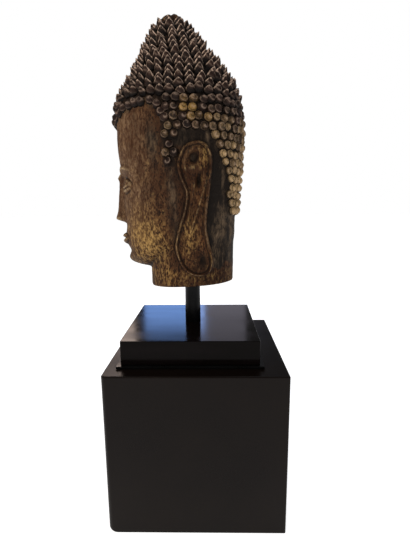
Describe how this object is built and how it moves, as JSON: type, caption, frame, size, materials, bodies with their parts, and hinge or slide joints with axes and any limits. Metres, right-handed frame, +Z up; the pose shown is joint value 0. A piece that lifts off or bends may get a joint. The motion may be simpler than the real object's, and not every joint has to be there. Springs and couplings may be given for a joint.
{
  "type": "stone buddha head",
  "caption": "Carved stone buddha head with tight curls and long ears, on a steel post with a square wooden base block and a black lacquered plinth.",
  "frame": {"origin": "centre of the plinth's underside, on the floor", "axes": "+Z up; the face looks along -Y, so the head's left ear is on the +X side"},
  "size_m": [0.4064, 0.4064, 1.163],
  "materials": {
    "gilded_stone": "carved, with worn brown lacquer and rubbed gilding",
    "black_steel": "satin black",
    "ebonised_wood": "polished black",
    "black_lacquer": "satin black lacquer, slightly brown"
  },
  "bodies": {
    "root": {"head": "gilded_stone", "post": "black_steel", "base_block": "ebonised_wood", "foot_plate": "black_steel", "plinth": "black_lacquer"}
  },
  "joints": []
}
